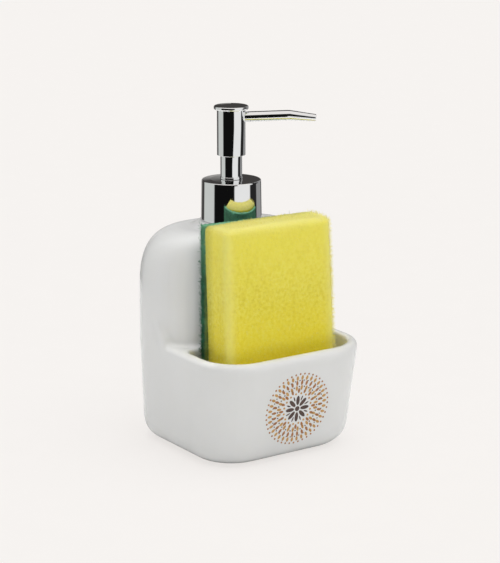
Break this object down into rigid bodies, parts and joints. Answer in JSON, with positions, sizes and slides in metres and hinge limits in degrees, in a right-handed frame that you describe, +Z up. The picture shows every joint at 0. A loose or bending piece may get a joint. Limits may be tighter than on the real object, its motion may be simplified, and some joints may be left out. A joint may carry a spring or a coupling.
{
  "type": "soap pump caddy",
  "caption": "Glazed ceramic soap tank with a lotion pump at the back and an open tray in front that holds a scouring sponge.",
  "frame": {"origin": "middle of the body's footprint, on the surface that the foot ring stands on", "axes": "+X to the object's right seen from its front, +Y to its back, +Z up along the pump"},
  "size_m": [0.105, 0.105, 0.1933],
  "materials": {
    "glazed_ceramic": "glossy white glaze",
    "chromed_metal": "mirror chrome",
    "white_plastic": "moulded polypropylene",
    "clear_plastic": "translucent polyethylene",
    "seal_rubber": "soft gasket",
    "spring_steel": "stainless wire",
    "ball_steel": "polished steel",
    "yellow_foam": "open cell foam",
    "green_fibre": "bonded abrasive fibre"
  },
  "bodies": {
    "root": {"ceramic_body": "glazed_ceramic", "neck_insert": "white_plastic"},
    "pump": {"neck_gasket": "seal_rubber", "pump_housing": "clear_plastic", "chaplet": "white_plastic", "guide_sleeve": "chromed_metal", "dip_tube": "clear_plastic", "return_spring": "spring_steel"},
    "closure": {"screw_cap": "white_plastic", "collar_shroud": "chromed_metal"},
    "plunger": {"piston_rod": "white_plastic"},
    "piston": {"piston": "white_plastic"},
    "head": {"stem": "white_plastic", "head_core": "white_plastic", "head_shell": "chromed_metal", "head_cap": "chromed_metal", "spout_tube": "chromed_metal", "spout_liner": "white_plastic"},
    "inlet_ball": {"inlet_ball": "ball_steel"},
    "sponge": {"sponge_foam": "yellow_foam", "scouring_pad": "green_fibre"}
  },
  "joints": [
    {"name": "pump_lift", "type": "slide", "parent": "root", "child": "pump", "axis": [0, 0, 1], "range_m": [0, 0.138]},
    {"name": "closure_unscrew", "type": "hinge", "parent": "pump", "child": "closure", "pos_m": [0, 0.017, 0.128], "axis": [0, 0, 1], "range_deg": [0, 540]},
    {"name": "head_press", "type": "slide", "parent": "pump", "child": "plunger", "axis": [0, 0, -1], "range_m": [0, 0.0125], "stiffness_N_per_m": 450, "springref_m": -0.006, "deforming": ["return_spring"]},
    {"name": "piston_valve", "type": "slide", "parent": "plunger", "child": "piston", "axis": [0, 0, 1], "range_m": [0, 0.0015]},
    {"name": "head_swivel", "type": "hinge", "parent": "plunger", "child": "head", "pos_m": [0, 0.017, 0.178], "axis": [0, 0, 1], "continuous": true},
    {"name": "inlet_ball_lift", "type": "slide", "parent": "pump", "child": "inlet_ball", "axis": [0, 0, 1], "range_m": [0, 0.0015]},
    {"name": "sponge_lift", "type": "slide", "parent": "root", "child": "sponge", "axis": [0, 0, 1], "range_m": [0, 0.034]}
  ]
}
